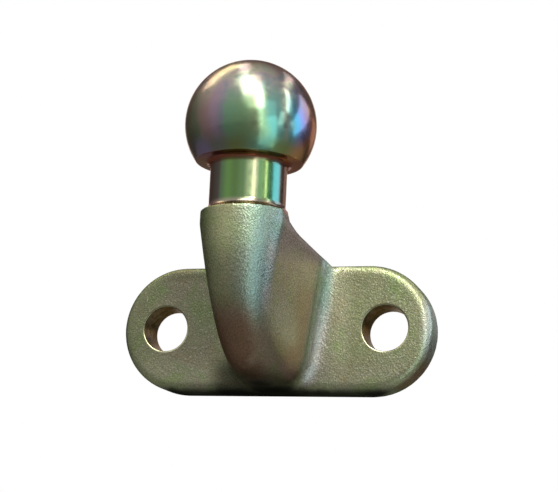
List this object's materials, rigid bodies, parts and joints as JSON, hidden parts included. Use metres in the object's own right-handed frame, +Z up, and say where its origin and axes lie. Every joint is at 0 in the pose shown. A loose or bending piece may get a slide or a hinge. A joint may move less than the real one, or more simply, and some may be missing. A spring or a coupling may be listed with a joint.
{
  "type": "ball hitch",
  "caption": "One-piece forged tow ball: polished ball on a short turned neck, with a swept shank running down into a flat stadium-shaped flange with bolt holes.",
  "frame": {"origin": "middle of the rear mounting face, on the line of the two bolt holes", "axes": "+X along the line of the bolt holes, +Y straight back out of the rear mounting face, +Z up through the ball's end, parallel to the ball's axis"},
  "size_m": [0.1264, 0.0825, 0.1208],
  "materials": {
    "tow_ball": "forged steel with yellow iridescent zinc plating: turned and glossy on the ball and neck, grainy and satin elsewhere"
  },
  "bodies": {
    "root": {"tow_ball": "tow_ball"}
  },
  "joints": []
}
